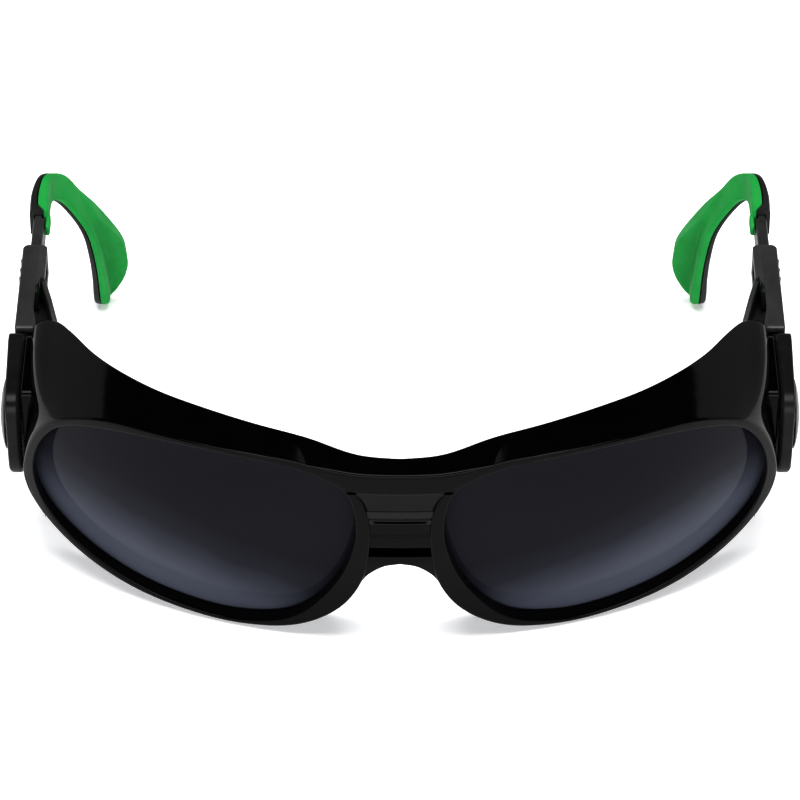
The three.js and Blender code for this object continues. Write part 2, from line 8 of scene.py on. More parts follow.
import bpy
import numpy as np
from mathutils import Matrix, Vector


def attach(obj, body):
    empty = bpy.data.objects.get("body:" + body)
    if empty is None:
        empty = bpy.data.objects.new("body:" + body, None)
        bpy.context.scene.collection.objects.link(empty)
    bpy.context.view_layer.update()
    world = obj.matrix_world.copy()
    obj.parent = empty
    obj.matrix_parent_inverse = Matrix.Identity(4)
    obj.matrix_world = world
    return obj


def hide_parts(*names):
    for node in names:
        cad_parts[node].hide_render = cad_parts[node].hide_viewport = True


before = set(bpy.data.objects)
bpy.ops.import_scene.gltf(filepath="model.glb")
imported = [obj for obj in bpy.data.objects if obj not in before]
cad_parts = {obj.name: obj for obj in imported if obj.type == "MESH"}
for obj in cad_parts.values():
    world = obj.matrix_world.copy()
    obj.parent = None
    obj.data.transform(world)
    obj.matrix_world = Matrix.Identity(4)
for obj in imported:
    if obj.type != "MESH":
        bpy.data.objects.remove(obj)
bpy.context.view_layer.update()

MM = 0.001
ORIGIN = (0, -65.39, 1.05)      # moves the design's own zero to the middle of the footprint

# ---- dimensions shared with the CAD ------------------------------------------------------

WRAP_RADIUS = 110
FRONT_TILT = math.radians(8)
FRONT_TOP = 43.5
RIM_DEPTH = 9.2
RIM_FLARE = 0.9
EYE_CENTRE = np.array([41.0, 23.0])
LENS_THICK = 2.2
LENS_DEPTH_NASAL = 3.4
LENS_DEPTH = 4.1
LENS_SEAT = 0.5
FIT_GAP = 0.3
GUARD_THICK = 2
PIVOT_Y = 49
PIVOT_Z = 25
TEMPLE_TILT = math.radians(4.9)
PAD_FACE = 76.8
CARRIER_IN = 77.1
CARRIER_OUT = 80.35
TOE_IN = 0.03
CARRIER_FRONT = -11.5
CARRIER_REAR = 12
TEMPLE_TOP = 12
CARRIER_BOTTOM = -10.5
CAP_RADIUS = 7.3
CAP_CROWN = 82
CAP_SEAT = 80.6
CAP_FLOOR = 79.8
BORE_RADIUS = 6.5
SCREW_RADIUS = 1.3
WASHER_RADIUS = 5.3
WASHER_THICK = 0.8
FOLD_U = 73.6
FOLD_V = 15.5
KNUCKLE_RADIUS = 2.3
PIN_RADIUS = 0.9
KNUCKLES = [(-5, -1.2), (7.2, 10.4)]
MID_KNUCKLE = (-0.9, 6.9)
SLEEVE_IN = 74.5
SLEEVE_OUT = 79.55
SLEEVE_REAR = 41.3
KNUCKLE_ROOM = 78.4
STRUT_FRONT = 18.3
ARM_IN = 75.75
ARM_OUT = 78.15
ARM_LOW = 5.2
ARM_HIGH = 10.7
ARM_FRONT = 27
ARM_REAR = 57
TAIL_IN = 76.4
TAIL_OUT = 77.8
TAIL_FROM = 51.6
SHELL_SHARE = 0.37
PAD_SHARE = 0.43
BASE_CUT = -1.05

RIM_OUTER = [
    (6.1, 31.5), (8.5, 39.3), (17, 45.9), (33, 47.3), (50, 47), (60, 45.4), (68.4, 40.5),
    (74.4, 31.6), (76.8, 21), (74.3, 13.4), (67.5, 7.2), (57, 2.4), (44.5, 0.1), (31, -0.3),
    (20, 1.9), (12, 7.5), (7.6, 15), (6.1, 23),
]
RIM_INNER = [
    (8.8, 32), (10.9, 39.6), (18.8, 44.2), (33, 45.8), (49, 45.3), (60, 43.1), (67.8, 39),
    (72.7, 31), (74.3, 21.5), (72.1, 14.6), (65.8, 8.6), (56.3, 3.9), (44.3, 1.2), (31.8, 0.8),
    (21.3, 4.1), (13, 13.9), (9.2, 24.5),
]
GUARD_FRONT = [
    (0, 44.4), (8.5, 44.6), (18, 46.1), (28, 47.3), (38, 47.25), (48, 47.1), (55.5, 46.6),
    (60.5, 45.2), (64.5, 43.2), (68.2, 40.6), (71.6, 36.7), (74.2, 32), (76, 26.3),
    (76.8, 20.5), (75.8, 16), (73, 11.8),
]
GUARD_REAR = [
    (0, 6.1, 44.3), (8.5, 7.3, 44.5), (18, 10.9, 46), (28, 13.8, 47.2), (38, 19.1, 47.2),
    (48, 25.6, 47), (56, 33, 46.6), (62, 41.6, 45.2), (67, 51.3, 43.6), (71.2, 58, 41.95),
    (74.9, 59.2, 40.1), (76.3, 58.6, 36.5), (76.6, 58, 28), (76.6, 57, 20), (75.8, 52, 14),
    (73.5, 44, 10.5),
]
BRIDGE_HALF = 8.4
ARCH = [(8.4, 13.2), (6.5, 16.5), (3.3, 19.1), (0, 19.9)]
SLEEVE_SIDE = [
    (13, 12), (SLEEVE_REAR - 0.5, 12), (SLEEVE_REAR, 11.6), (SLEEVE_REAR, 4), (31, 3.2),
    (25.5, 0.6), (20.5, -4), (13, -6),
]
# lower edge and upper edge of the ear blade (y, z), outboard and inboard faces (x)
EAR_STATIONS = [
    (100.4, 35.2, 100.4, 41.6, 79, 74.9),
    (107, 35.8, 107, 42.4, 79, 75.2),
    (112, 36.5, 112.8, 42.8, 77.7, 74.7),
    (114.8, 34.7, 117.6, 39.6, 75.2, 72.2),
    (116.5, 30.4, 121, 33.9, 72.4, 69.8),
    (118.2, 23.8, 125.8, 25.8, 69.6, 66.8),
    (120, 16.2, 128.8, 17, 68.5, 65.5),
    (122.6, 8.8, 130.52, 9, 68.2, 64.9),
    (125.6, 1.1, 130.52, 1.3, 68.2, 64.7),
    (128.2, BASE_CUT, 129.6, BASE_CUT, 67.4, 65.6),
]

# ---- dimensions of the visual model alone ------------------------------------------------

# the bridge's section (y behind the front face, z); the CAD's hollow and rib are a little different
BRIDGE_SIDE = [
    (0.3, 43.2), (0.62, 39.4), (0.85, 39.1), (2.35, 34.1), (1.72, 32.6), (3.15, 32), (3.15, 31.3),
    (2.65, 30.6), (2.95, 27.9), (2.78, 27.45), (3.05, 24.6), (7, 24.1), (7, 22.2), (4, 21.6),
    (4.1, 19.9), (5.6, 11.5), (9.6, 11.5), (7.4, 40), (6.2, 43.2),
]
BRIDGE_TOP_HALF = 9.2           # wider under the brow, where it closes against the rims
LENS_BULGE = 1.4
BROW_ROUNDING = 1.05
LEAF_HEIGHT = 4.4
GRIP_RIBS = (31.8, 34.8, 37.8)
# factor per metre and offset of the lens's painted reflection, by distance outward and by height
PAINTED_REFLECTION_OUTWARD = (13.2, -0.542)
PAINTED_REFLECTION_UPWARD = (-39.5, 0.99)

# ---- curves ------------------------------------------------------------------------------


def smooth(low, high, value):
    t = np.clip((np.asarray(value, float) - low) / (high - low), 0, 1)
    return t * t * (3 - 2 * t)


def mix(a, b, t):
    return a + (b - a) * t


def curve_at(points, t, closed=False):
    """Points on a centripetal Catmull-Rom curve through points, at parameters t from 0 to 1."""
    p = np.array(points, float)
    n = len(p)
    t = np.atleast_1d(np.asarray(t, float))
    spans = n if closed else n - 1
    at = np.clip(t * spans, 0, spans - 1e-9)
    i = np.floor(at).astype(int)
    w = (at - i)[:, None]
    if closed:
        p0, p1, p2, p3 = (p[(i + k) % n] for k in (-1, 0, 1, 2))
    else:
        ends = np.vstack([2 * p[0] - p[1], p, 2 * p[-1] - p[-2]])
        p0, p1, p2, p3 = (ends[i + k] for k in (0, 1, 2, 3))
    d0, d1, d2 = (
        np.sqrt(np.linalg.norm(b - a, axis=1))[:, None]
        for a, b in ((p0, p1), (p1, p2), (p2, p3))
    )
    m1 = ((p1 - p0) / d0 - (p2 - p0) / (d0 + d1) + (p2 - p1) / d1) * d1
    m2 = ((p2 - p1) / d1 - (p3 - p1) / (d1 + d2) + (p3 - p2) / d2) * d1
    return (
        p1 + m1 * w + (3 * (p2 - p1) - 2 * m1 - m2) * w**2 + (2 * (p1 - p2) + m1 + m2) * w**3
    )


def blurred(values, sigma, closed=True):
    """The values evened out along a curve with a bell of that width, in samples."""
    reach = int(3 * sigma) + 1
    bell = np.exp(-0.5 * (np.arange(-reach, reach + 1) / sigma) ** 2)
    bell /= bell.sum()
    v = np.asarray(values, float)
    flat = v.reshape(len(v), -1)
    if closed:
        ends = np.vstack([flat[-reach:], flat, flat[:reach]])
    else:
        head = 2 * flat[0] - flat[reach:0:-1]
        tail = 2 * flat[-1] - flat[-2:-reach - 2:-1]
        ends = np.vstack([head, flat, tail])
    out = np.column_stack([np.convolve(c, bell, "valid") for c in ends.T])
    return out.reshape(v.shape)


def front_y(x, z):
    """How far back the wrapped and tilted front face lies at x and z."""
    wrap = WRAP_RADIUS - np.sqrt(WRAP_RADIUS**2 - np.asarray(x, float) ** 2)
    return wrap + (FRONT_TOP - np.asarray(z, float)) * math.tan(FRONT_TILT)


def rounded(corners):
    """A closed outline with each corner (x, y, radius, steps) rounded by a curve."""
    out = []
    n = len(corners)
    spots = [np.array(c[:2], float) for c in corners]
    for k, (_, _, radius, steps) in enumerate(corners):
        here, before, after = spots[k], spots[k - 1], spots[(k + 1) % n]
        if steps < 2:
            out.append(here)
            continue
        a, b = before - here, after - here
        reach_a = min(radius, 0.45 * np.linalg.norm(a))
        reach_b = min(radius, 0.45 * np.linalg.norm(b))
        start = here + a / max(np.linalg.norm(a), 1e-9) * reach_a
        end = here + b / max(np.linalg.norm(b), 1e-9) * reach_b
        for s in range(steps):
            t = s / (steps - 1)
            out.append((1 - t) ** 2 * start + 2 * t * (1 - t) * here + t**2 * end)
    return np.array(out)


def evenly(points, count, closed=True):
    """The outline resampled to count points at equal distances."""
    p = np.array(points, float)
    if closed:
        p = np.vstack([p, p[:1]])
    s = np.concatenate([[0], np.cumsum(np.linalg.norm(np.diff(p, axis=0), axis=1))])
    at = np.linspace(0, s[-1], count + 1)[:-1] if closed else np.linspace(0, s[-1], count)
    return np.column_stack([np.interp(at, s, c) for c in p.T])


# ---- meshes ------------------------------------------------------------------------------


def loft(rings, closed=False):
    """(vertices, faces) of a closed body through rings with the same number of points."""
    rings = np.array(rings, float)
    count, width = rings.shape[:2]
    vertices = rings.reshape(-1, 3)
    faces = []
    for i in range(count if closed else count - 1):
        here, there = i * width, ((i + 1) % count) * width
        for j in range(width):
            k = (j + 1) % width
            faces.append((here + j, here + k, there + k, there + j))
    if not closed:
        faces.append(tuple(range(width))[::-1])
        faces.append(tuple(range((count - 1) * width, count * width)))
    return vertices, faces


def volume(vertices, faces):
    total = 0
    for f in faces:
        a = vertices[f[0]]
        for b, c in zip(f[1:-1], f[2:]):
            total += np.dot(a, np.cross(vertices[b], vertices[c]))
    return total


def tilted(vertices):
    """From the temple's own frame to the spectacles' frame."""
    u, v, w = np.asarray(vertices, float).T
    c, s = math.cos(TEMPLE_TILT), math.sin(TEMPLE_TILT)
    return np.column_stack([u, PIVOT_Y + v * c - w * s, PIVOT_Z + v * s + w * c])


def make_object(name, shape, side=1):
    """A Blender object of a closed (vertices, faces) shape, with its faces outward."""
    vertices, faces = shape
    v = np.array(vertices, float) * (side, 1, 1)
    if volume(v, faces) < 0:
        faces = [f[::-1] for f in faces]
    mesh = bpy.data.meshes.new(name)
    mesh.from_pydata(((v + ORIGIN) * MM).tolist(), [], faces)
    mesh.validate()
    obj = bpy.data.objects.new(name, mesh)
    bpy.context.scene.collection.objects.link(obj)
    return obj


def settle(obj):
    """Applies the object's modifiers to its mesh."""
    graph = bpy.context.evaluated_depsgraph_get()
    mesh = bpy.data.meshes.new_from_object(obj.evaluated_get(graph))
    obj.modifiers.clear()
    obj.data = mesh
    return obj


def combined(obj, others, operation):
    """obj joined with, or cut by, the other objects, which are then removed."""
    for other in others:
        step = obj.modifiers.new("step", "BOOLEAN")
        step.operation = operation
        step.solver = "MANIFOLD"
        step.object = other
        settle(obj)
        bpy.data.objects.remove(other)
    return obj


def union(obj, *others):
    return combined(obj, others, "UNION")


def cut(obj, *others):
    return combined(obj, others, "DIFFERENCE")


def intersected(obj, other):
    return combined(obj, [other], "INTERSECT")


def bevelled(obj, width, segments=3, angle=35):
    """Rounds the edges sharper than an angle."""
    step = obj.modifiers.new("edge", "BEVEL")
    step.width = width * MM
    step.segments = segments
    step.limit_method = "ANGLE"
    step.angle_limit = math.radians(angle)
    step.use_clamp_overlap = True
    return settle(obj)


def polished(obj, angle=35):
    """Smooth shading with sharp edges above an angle, weighted by face area."""
    mesh = obj.data
    mesh.polygons.foreach_set("use_smooth", [True] * len(mesh.polygons))
    mesh.set_sharp_from_angle(angle=math.radians(angle))
    weights = obj.modifiers.new("normals", "WEIGHTED_NORMAL")
    weights.keep_sharp = True
    return obj


def plate(corners, u0, u1, edge=0.5, count=220, rings=10, lean=None, inner_edge=None):
    """A plate with rounded edges, from an outline in (v, w) and its two faces u0 and u1.
    lean(v, w) moves the outer face in or out. inner_edge is the rounding at u0."""
    line = evenly(rounded(corners), count)
    ahead = np.roll(line, -1, axis=0) - np.roll(line, 1, axis=0)
    turn = np.sign(np.sum(line[:, 0] * np.roll(line[:, 1], -1) - line[:, 1] * np.roll(line[:, 0], -1)))
    normal = np.column_stack([ahead[:, 1], -ahead[:, 0]]) * turn
    normal /= np.linalg.norm(normal, axis=1)[:, None]
    middle = line.mean(axis=0)

    def half(face, radius, inward):
        flat = line - normal * radius
        levels = [(middle + (flat - middle) * (k / rings), face) for k in range(1, rings)]
        for angle in np.linspace(0, math.pi / 2, 7):
            u = face + inward * radius * (1 - math.cos(angle))
            levels.append((flat + normal * radius * math.sin(angle), u))
        return levels

    sections = half(u0, inner_edge or edge, 1) + half(u1, edge, -1)[::-1]
    out = []
    for points, u in sections:
        shift = 0 if lean is None else lean(points[:, 0], points[:, 1]) * (u - u0) / (u1 - u0)
        out.append(np.column_stack([u + shift * np.ones(len(points)), points]))
    return loft(out)


def block(u0, u1, v0, v1, w0, w1):
    """A plain box, used for cutting and as a blank."""
    ring = [(v0, w0), (v1, w0), (v1, w1), (v0, w1)]
    return loft([[(u, v, w) for v, w in ring] for u in (u0, u1)])


def prism(outline, low, high, axis):
    """An outline of pairs, thickened between two values of the axis left out of the pairs."""
    def point(pair, level):
        values = list(pair)
        values.insert(axis, level)
        return values
    return loft([[point(pair, level) for pair in outline] for level in (low, high)])


def turned(profile, v=0.0, w=0.0, sides=96):
    """A round body about a line along u, from (radius, u) points that start and end on it."""
    rings = []
    for radius, u in profile:
        a = np.linspace(0, 2 * math.pi, sides, endpoint=False)
        r = max(radius, 1e-3)
        rings.append(np.column_stack([np.full(sides, u), v + r * np.cos(a), w + r * np.sin(a)]))
    return loft(rings)


def post(radius, u, v, w0, w1, sides=48, edge=0.0):
    """A round body standing along w."""
    a = np.linspace(0, 2 * math.pi, sides, endpoint=False)
    profile = [(radius, w0), (radius, w1)]
    if edge:
        profile = [(radius - edge, w0), (radius, w0 + edge), (radius, w1 - edge), (radius - edge, w1)]
    return loft([
        np.column_stack([u + r * np.cos(a), v + r * np.sin(a), np.full(sides, w)])
        for r, w in profile
    ])


# ---- materials ---------------------------------------------------------------------------


class Nodes:
    """A new node material and short names for its common nodes."""

    def __init__(self, name):
        self.material = bpy.data.materials.new(name)
        self.material.use_nodes = True
        self.tree = self.material.node_tree
        self.shader = self.tree.nodes["Principled BSDF"]
        self.place = self.tree.nodes.new("ShaderNodeTexCoord").outputs["Object"]

    def link(self, a, b):
        self.tree.links.new(a, b)

    def noise(self, scale, detail=3.0, rough=0.55, stretch=None):
        node = self.tree.nodes.new("ShaderNodeTexNoise")
        node.inputs["Scale"].default_value = scale
        node.inputs["Detail"].default_value = detail
        node.inputs["Roughness"].default_value = rough
        place = self.place
        if stretch:
            mapping = self.tree.nodes.new("ShaderNodeMapping")
            mapping.inputs["Scale"].default_value = stretch
            self.link(self.place, mapping.inputs["Vector"])
            place = mapping.outputs["Vector"]
        self.link(place, node.inputs["Vector"])
        return node.outputs["Fac"]

    def parts(self, vector):
        node = self.tree.nodes.new("ShaderNodeSeparateXYZ")
        self.link(vector, node.inputs["Vector"])
        return tuple(node.outputs)

    def maths(self, operation, *sources):
        node = self.tree.nodes.new("ShaderNodeMath")
        node.operation = operation
        for socket, source in zip(node.inputs, sources):
            self.link(source, socket)
        return node.outputs["Value"]

    def scaled(self, source, factor, offset):
        node = self.tree.nodes.new("ShaderNodeMath")
        node.operation = "MULTIPLY_ADD"
        node.inputs[1].default_value = factor
        node.inputs[2].default_value = offset
        self.link(source, node.inputs[0])
        return node.outputs["Value"]

    def spread(self, source, low, high, out_low, out_high):
        node = self.tree.nodes.new("ShaderNodeMapRange")
        for key, value in zip(("From Min", "From Max", "To Min", "To Max"), (low, high, out_low, out_high)):
            node.inputs[key].default_value = value
        self.link(source, node.inputs["Value"])
        return node.outputs["Result"]

    def ramp(self, source, stops):
        node = self.tree.nodes.new("ShaderNodeValToRGB")
        elements = node.color_ramp.elements
        while len(elements) < len(stops):
            elements.new(0.5)
        for element, (at, colour) in zip(elements, stops):
            element.position = at
            element.color = (*colour, 1)
        self.link(source, node.inputs["Fac"])
        return node.outputs["Color"]

    def bump(self, source, strength, distance, under=None):
        node = self.tree.nodes.new("ShaderNodeBump")
        node.inputs["Strength"].default_value = strength
        node.inputs["Distance"].default_value = distance
        self.link(source, node.inputs["Height"])
        if under is not None:
            self.link(under, node.inputs["Normal"])
        return node.outputs["Normal"]


def moulded_black(name, rough, grain, specular, shade):
    """Injection-moulded black: faint mould grain, uneven gloss and a little handling haze."""
    n = Nodes(name)
    cloud = n.noise(260, 4)
    light = (1.3 * shade, 1.3 * shade, 1.33 * shade)
    base = n.ramp(cloud, [(0.3, (0.8 * shade, 0.79 * shade, 0.79 * shade)), (0.72, light)])
    n.link(base, n.shader.inputs["Base Color"])
    haze = n.noise(90, 5, 0.62)
    fine = n.noise(2600, 2)
    n.link(n.spread(haze, 0.3, 0.75, rough * 0.8, rough * 1.35), n.shader.inputs["Roughness"])
    wave = n.bump(n.noise(120, 1), 0.06, 0.0004)
    n.link(n.bump(fine, grain, 0.00004, wave), n.shader.inputs["Normal"])
    n.shader.inputs["Specular IOR Level"].default_value = specular
    return n.material


def tinted_lens_with_painted_reflection(name):
    """Polished filter, too dark to see through. Its blue-grey painted reflection, which grows towards the
    lower outer edge, is painted into the base colour over the filter's own dark tint."""
    n = Nodes(name)
    x, _, z = n.parts(n.place)
    outward = n.scaled(n.maths("ABSOLUTE", x), *PAINTED_REFLECTION_OUTWARD)
    downward = n.scaled(z, *PAINTED_REFLECTION_UPWARD)
    painted_reflection = n.maths("ADD", outward, downward)
    mottled_painted_reflection = n.maths("ADD", painted_reflection, n.spread(n.noise(45, 2), 0.3, 0.7, -0.04, 0.04))
    # the darkest stop is the filter's own tint; the brighter stops are painted reflection, with a little
    # random mottling
    tint = n.ramp(mottled_painted_reflection, [
        (0.0, (0.0085, 0.0086, 0.0115)), (0.25, (0.0145, 0.015, 0.0205)), (0.45, (0.032, 0.034, 0.044)),
        (0.65, (0.056, 0.061, 0.078)), (1.0, (0.074, 0.08, 0.102)),
    ])
    n.link(tint, n.shader.inputs["Base Color"])
    smear = n.noise(70, 4, 0.6, stretch=(1, 1, 3))
    n.link(n.spread(smear, 0.35, 0.8, 0.03, 0.09), n.shader.inputs["Roughness"])
    n.link(n.bump(n.noise(60, 1), 0.03, 0.0003), n.shader.inputs["Normal"])
    n.shader.inputs["Specular IOR Level"].default_value = 0.05
    return n.material


def soft_green(name):
    """Soft-touch green rubber: satin, with a fine eggshell grain and slight mottling."""
    n = Nodes(name)
    cloud = n.noise(180, 4)
    base = n.ramp(cloud, [
        (0.25, (0.012, 0.235, 0.046)), (0.55, (0.018, 0.265, 0.057)), (0.8, (0.025, 0.295, 0.07)),
    ])
    n.link(base, n.shader.inputs["Base Color"])
    n.link(n.spread(n.noise(140, 4), 0.3, 0.75, 0.5, 0.68), n.shader.inputs["Roughness"])
    grain = n.bump(n.noise(3200, 2), 0.22, 0.00005)
    n.link(n.bump(n.noise(150, 2), 0.1, 0.0003, grain), n.shader.inputs["Normal"])
    n.shader.inputs["Specular IOR Level"].default_value = 0.12
    return n.material


def turned_steel(name):
    n = Nodes(name)
    rings = n.noise(1500, 2, 0.6, stretch=(12, 1, 1))
    tint = n.ramp(rings, [(0.3, (0.42, 0.42, 0.43)), (0.7, (0.6, 0.6, 0.61))])
    n.link(tint, n.shader.inputs["Base Color"])
    n.link(n.spread(rings, 0.3, 0.7, 0.22, 0.4), n.shader.inputs["Roughness"])
    n.link(n.bump(rings, 0.15, 0.00003), n.shader.inputs["Normal"])
    n.shader.inputs["Metallic"].default_value = 1
    return n.material


FRAME_BLACK = moulded_black("frame_black", rough=0.06, grain=0.03, specular=0.1, shade=0.0012)
HINGE_BLACK = moulded_black("hinge_black", rough=0.3, grain=0.05, specular=0.13, shade=0.008)
TEMPLE_BLACK = moulded_black("temple_black", rough=0.38, grain=0.2, specular=0.5, shade=0.022)
SHELL_BLACK = moulded_black("shell_black", rough=0.4, grain=0.25, specular=0.22, shade=0.014)
LENS = tinted_lens_with_painted_reflection("lens_tint")
GREEN = soft_green("soft_green")
STEEL = turned_steel("turned_steel")


def finished(obj, body, slot, material, *nodes):
    """Gives a piece its material, sets it on its body, and hides the CAD nodes it stands for. slot is not
    used.
    """
    obj.data.materials.clear()
    obj.data.materials.append(material)
    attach(obj, body)
    if nodes:
        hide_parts(*nodes)
    return obj


SIDES = (("left", 1), ("right", -1))

# ---- front frame -------------------------------------------------------------------------

RIM_STEPS = 300
STATION_ANGLES = np.arange(RIM_STEPS) * 2 * math.pi / RIM_STEPS


def polar_radii(points):
    """The closed curve's radius from the eye's centre at RIM_STEPS equal angles."""
    fine = curve_at(points, np.linspace(0, 1, 3000, endpoint=False), True) - EYE_CENTRE
    angle = np.mod(np.arctan2(fine[:, 1], fine[:, 0]), 2 * math.pi)
    order = np.argsort(angle)
    radius = np.interp(STATION_ANGLES, angle[order], np.hypot(*fine.T)[order], period=2 * math.pi)
    return blurred(radius, 2.2)


OUTER_RADII = polar_radii(RIM_OUTER)
INNER_RADII = polar_radii(RIM_INNER)


def lens_depth(x):
    return mix(LENS_DEPTH_NASAL, LENS_DEPTH, smooth(9, 32, x))


def eye_points(radii, depth):
    """Points round the eye at those radii, set back from the front face by depth."""
    x = EYE_CENTRE[0] + radii * np.cos(STATION_ANGLES)
    z = EYE_CENTRE[1] + radii * np.sin(STATION_ANGLES)
    return np.column_stack([x, front_y(x, z) + depth, z])


def rim():
    under = smooth(0.2, 0.8, -np.sin(STATION_ANGLES))
    edge = eye_points(OUTER_RADII, 0)
    # where the brow shelf and side guard cover the rim, its outside stays below their surface
    beside = smooth(58, 62, edge[:, 0]) * smooth(10, 14, edge[:, 2])
    covered = np.maximum(smooth(38, 42, edge[:, 2]), beside)
    # along the lower outer edge the face rolls over towards the lens
    rolled = smooth(0.12, 0.5, -np.sin(STATION_ANGLES)) * smooth(-0.45, -0.05, np.cos(STATION_ANGLES))
    rings = []
    for i in range(RIM_STEPS):
        outer, inner = OUTER_RADII[i], INNER_RADII[i]
        x = EYE_CENTRE[0] + inner * math.cos(STATION_ANGLES[i])
        groove = float(lens_depth(x))
        deep = min(LENS_SEAT + FIT_GAP, 0.7 * (outer - inner))
        section = rounded([
            (inner, 0.02, 0.4 + 0.8 * rolled[i], 8),
            (outer - 0.03 - 0.12 * covered[i], 0.02, 0.6, 7),
            (outer - 0.03 + RIM_FLARE * under[i] - 0.6 * covered[i], RIM_DEPTH, 0.7, 6),
            (inner - 0.1, RIM_DEPTH, 0.5, 5),
            (inner - 0.05, groove + LENS_THICK + FIT_GAP, 0.12, 3),
            (inner + deep, groove + LENS_THICK + FIT_GAP, 0.1, 2),
            (inner + deep, groove - FIT_GAP, 0.1, 2),
            (inner, groove - FIT_GAP, 0.12, 3),
        ])
        x = EYE_CENTRE[0] + section[:, 0] * math.cos(STATION_ANGLES[i])
        z = EYE_CENTRE[1] + section[:, 0] * math.sin(STATION_ANGLES[i])
        rings.append(np.column_stack([x, front_y(x, z) + section[:, 1], z]))
    return loft(rings, True)


def lens():
    shares = list(np.linspace(0.03, 0.97, 30)) + [1.0]
    face, rear = [], []
    for share in shares:
        flat = eye_points((INNER_RADII + LENS_SEAT) * share, 0)
        ease = 0.25 * (share == 1)
        depth = lens_depth(flat[:, 0]) - LENS_BULGE * (1 - share**2) ** 2
        face.append(flat + np.outer(depth + ease, (0, 1, 0)))
        rear.append(flat + np.outer(depth + LENS_THICK - ease, (0, 1, 0)))
    return loft(face + rear[::-1])


GUARD_STEPS = 170
END_STEPS = 6


def brow_and_guard():
    """The band that runs from the lower outer corner over the brow to the other side: the upper
    part of the front face, the brow shelf and the side guard."""
    t = np.linspace(0, 1, GUARD_STEPS + 1)

    def evened(points):
        half = curve_at(points, t)
        flip = np.ones(half.shape[1])
        flip[0] = -1
        return blurred(np.vstack([half[:0:-1] * flip, half]), 1.8, closed=False)[len(t) - 1:]

    front = evened(GUARD_FRONT)
    rear = evened(GUARD_REAR)
    along = np.gradient(front, axis=0)
    along[0] = (1, 0)
    inward = np.column_stack([along[:, 1], -along[:, 0]])
    inward /= np.linalg.norm(inward, axis=1)[:, None]
    x = front[:, 0]
    # how far the front face reaches down from its top edge
    face = mix(4.95, 0.9, smooth(8.4, 17, x))
    face = mix(face, 0.5, smooth(0.8, 1, t))
    half = []
    for i in range(len(t)):
        n = inward[i]
        top_y = float(front_y(*front[i]))

        def at(drop, y):
            return (front[i, 0] + n[0] * drop, y, front[i, 1] + n[1] * drop)

        fy = float(front_y(front[i, 0] + n[0] * face[i], front[i, 1] + n[1] * face[i]))
        root = top_y + RIM_DEPTH - 1
        thin = GUARD_THICK * 0.8
        back = rear[i]
        # the section in the plane of this station: drop from the outer edge, y, radius and steps
        corners = [
            (face[i], fy + 0.06 * float(smooth(8.4, 17, x[i])), 0.2, 3),
            (0.0, top_y, BROW_ROUNDING, 14),
            *((0.0, y, 0, 1) for y in np.linspace(top_y + 2, back[1] - 2, 12)),
            (0.0, back[1], 0.45, 7),
            (thin, back[1], 0.7, 7),
            (GUARD_THICK, root, 1.0, 4),
            (face[i], root - 2, 0.3, 3),
        ]
        reach = max(back[1] - top_y, 0.1)
        ring = []
        for d, y in rounded(corners):
            p = np.array(at(d, y))
            share = 1 - (1 - np.clip((y - top_y) / reach, 0, 1)) ** 2
            p[0] += (back[0] - front[i, 0]) * share
            p[2] += (back[2] - front[i, 1]) * share
            ring.append(p)
        half.append(ring)
    # round the free lower end
    last = np.array(half[-1])
    normal = np.array([inward[-1][0], 0, inward[-1][1]])
    onward = np.array([along[-1][0], 0, along[-1][1]]) / np.linalg.norm(along[-1])
    offset = (last - last.mean(axis=0)) @ normal
    for k in range(1, END_STEPS):
        angle = math.pi / 2 * k / END_STEPS
        squeezed = last - np.outer(offset * (1 - math.cos(angle)), normal)
        half.append(squeezed + onward * math.sin(angle) * GUARD_THICK / 2)
    half = np.array(half)
    other = half[1:][::-1] * (-1, 1, 1)
    return loft(np.concatenate([other, half]))


def bridge():
    stations = np.linspace(-BRIDGE_TOP_HALF, BRIDGE_TOP_HALF, 17)
    bar = make_object("bar", loft([
        [(x, y + float(front_y(x, FRONT_TOP)), z) for y, z in BRIDGE_SIDE] for x in stations
    ]))
    bevelled(bar, 0.2, 3, 24)
    side = [(BRIDGE_TOP_HALF, 46), (BRIDGE_TOP_HALF, 38.6), (BRIDGE_HALF, 37)]
    side += [tuple(point) for point in curve_at(ARCH, np.linspace(0, 1, 24))]
    window = make_object("arch", prism(side + [(-x, z) for x, z in side[::-1][1:]], -6, 16, 1))
    bevelled(window, 0.3, 2, 60)
    return intersected(bar, window)


def band_notch():
    """The small oval dimple where the nose band of a rim runs out under the brow."""
    middle = np.array([9.5, 39.5])
    angle = np.linspace(0, 2 * math.pi, 24, endpoint=False)
    outline = middle + np.column_stack([1.05 * np.cos(angle), 0.38 * np.sin(angle)])
    return prism([tuple(point) for point in outline], -5, float(front_y(*middle)) + 1.6, 1)


def pivot_pad():
    corners = [(-9.5, -9, 3, 12), (10.8, -9, 3, 12), (10.8, 13, 3, 12), (-9.5, 13, 1.5, 8)]
    vertices, faces = plate(corners, 74.4, PAD_FACE, 0.35)
    return tilted(vertices), faces


def pivot_rod(profile):
    """A round body on the tilt hinge's own line."""
    return turned(profile, PIVOT_Y, PIVOT_Z)


def front_frame():
    body = make_object("front_frame_body", brow_and_guard())
    hole = SCREW_RADIUS + FIT_GAP
    parts = [bridge()]
    tools = [make_object("table", block(-95, 95, -20, 100, BASE_CUT - 10, BASE_CUT))]
    for _, side in SIDES:
        parts.append(make_object("rim", rim(), side))
        parts.append(make_object("pad", pivot_pad(), side))
        boss = pivot_rod([(0, 73), (3.1, 73), (3.4, 73.3), (3.4, 76), (0, 76)])
        parts.append(make_object("boss", boss, side))
        tools.append(make_object("hole", pivot_rod([(0, 70), (hole, 70), (hole, 80), (0, 80)]), side))
        tools.append(make_object("notch", band_notch(), side))
    union(body, *parts)
    cut(body, *tools)
    return polished(body, 32)


